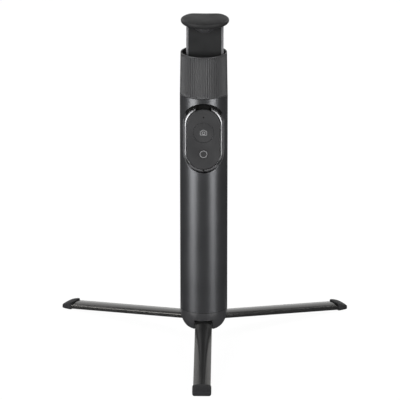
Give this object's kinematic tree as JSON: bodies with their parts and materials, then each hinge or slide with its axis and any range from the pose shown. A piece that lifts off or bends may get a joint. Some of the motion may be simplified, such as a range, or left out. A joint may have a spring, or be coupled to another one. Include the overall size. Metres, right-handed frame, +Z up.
{
  "type": "selfie stick",
  "caption": "Selfie stick with fold-out leg stand, telescopic pole, spring-loaded phone clamp and detachable remote.",
  "frame": {"origin": "centre of the handle's flat underside, on the stick's axis", "axes": "+Z up along the stick's axis, -Y towards the side that carries the remote"},
  "size_m": [0.205, 0.1781, 0.2319],
  "materials": {
    "body_aluminium": "satin, fine-blasted, dark grey anodised",
    "cap_plastic": "fine-textured dark grey moulding",
    "sleeve_plastic": "ribbed dark grey moulding",
    "clamp_plastic": "satin dark grey moulding",
    "panel_plastic": "smooth dark panel",
    "rail_metal": "satin grey rail",
    "leg_metal": "gloss black lacquer",
    "rubber": "matte black rubber",
    "pole_metal": "bright drawn aluminium tube",
    "inner_plastic": "moulded dark plastic",
    "glide_plastic": "natural low-friction plastic",
    "steel": "zinc plated steel",
    "dock_metal": "satin dark grey bezel",
    "remote_plastic": "fine matte dark grey",
    "board": "green solder mask",
    "battery": "nickel plated cell",
    "magnet": "nickel plated magnet",
    "light_pipe": "smoked clear plastic"
  },
  "bodies": {
    "handle": {"handle_tube": "body_aluminium", "end_cap": "cap_plastic", "end_cap_screw": "steel", "leg_carrier": "inner_plastic", "leg_pins": "steel", "carrier_screws": "steel", "leg_detent_spring": "steel", "pole_anchor": "inner_plastic", "pole_section_1": "pole_metal", "remote_dock": "dock_metal", "dock_magnets": "magnet"},
    "section_2": {"pole_section_2": "pole_metal", "pole_glide_2": "glide_plastic"},
    "section_3": {"pole_section_3": "pole_metal", "pole_glide_3": "glide_plastic"},
    "section_4": {"pole_section_4": "pole_metal", "pole_glide_4": "glide_plastic"},
    "section_5": {"pole_section_5": "pole_metal", "pole_glide_5": "glide_plastic"},
    "head": {"pole_section_6": "pole_metal", "pole_glide_6": "glide_plastic", "clamp_carriage": "inner_plastic", "head_screw": "steel", "grip_sleeve": "sleeve_plastic"},
    "clamp": {"clamp_core": "inner_plastic", "clamp_springs": "steel", "lower_jaw": "clamp_plastic", "lower_jaw_pad": "rubber", "tilt_block": "inner_plastic", "tilt_pin": "steel"},
    "upper_jaw": {"upper_jaw_cap": "clamp_plastic", "upper_jaw_pad": "rubber", "jaw_side_rails": "rail_metal", "jaw_front_panel": "panel_plastic", "jaw_back_panel": "panel_plastic"},
    "remote": {"remote_front_cover": "remote_plastic", "remote_rear_cover": "remote_plastic", "battery_door": "remote_plastic", "remote_screws": "steel", "circuit_board": "board", "dome_switches": "steel", "battery_cell": "battery", "battery_contact": "steel", "light_pipe": "light_pipe"},
    "shutter": {"shutter_button": "remote_plastic"},
    "power": {"power_button": "remote_plastic"},
    "front_leg": {"front_leg": "leg_metal", "front_foot": "rubber"},
    "right_leg": {"right_leg": "leg_metal", "right_foot": "rubber"},
    "left_leg": {"left_leg": "leg_metal", "left_foot": "rubber"}
  },
  "joints": [
    {"name": "pole_slide_2", "type": "slide", "parent": "handle", "child": "section_2", "axis": [0, 0, 1], "range_m": [0, 0.088]},
    {"name": "pole_slide_3", "type": "slide", "parent": "section_2", "child": "section_3", "axis": [0, 0, 1], "range_m": [0, 0.088]},
    {"name": "pole_slide_4", "type": "slide", "parent": "section_3", "child": "section_4", "axis": [0, 0, 1], "range_m": [0, 0.088]},
    {"name": "pole_slide_5", "type": "slide", "parent": "section_4", "child": "section_5", "axis": [0, 0, 1], "range_m": [0, 0.088]},
    {"name": "pole_slide_6", "type": "slide", "parent": "section_5", "child": "head", "axis": [0, 0, 1], "range_m": [0, 0.088]},
    {"name": "clamp_slide", "type": "slide", "parent": "head", "child": "clamp", "axis": [0, 0, 1], "range_m": [-0.019, 0.045]},
    {"name": "jaw_pull", "type": "slide", "parent": "clamp", "child": "upper_jaw", "axis": [0, 0, 1], "range_m": [0, 0.029], "stiffness_N_per_m": 120, "springref_m": -0.02, "deforming": ["clamp_springs"]},
    {"name": "remote_release", "type": "slide", "parent": "handle", "child": "remote", "axis": [0, -1, 0], "range_m": [0, 0.02]},
    {"name": "shutter_press", "type": "slide", "parent": "remote", "child": "shutter", "axis": [0, 1, 0], "range_m": [0, 0.0004], "stiffness_N_per_m": 900, "springref_m": -0.0005},
    {"name": "power_press", "type": "slide", "parent": "remote", "child": "power", "axis": [0, 1, 0], "range_m": [0, 0.0004], "stiffness_N_per_m": 900, "springref_m": -0.0005},
    {"name": "front_leg_fold", "type": "hinge", "parent": "handle", "child": "front_leg", "pos_m": [0, -0.0095, 0.00705], "axis": [1, 0, 0], "range_deg": [0, 83]},
    {"name": "right_leg_fold", "type": "hinge", "parent": "handle", "child": "right_leg", "pos_m": [0.00823, 0.00475, 0.00705], "axis": [-0.5, 0.866, 0], "range_deg": [0, 83]},
    {"name": "left_leg_fold", "type": "hinge", "parent": "handle", "child": "left_leg", "pos_m": [-0.00823, 0.00475, 0.00705], "axis": [-0.5, -0.866, 0], "range_deg": [0, 83]}
  ]
}
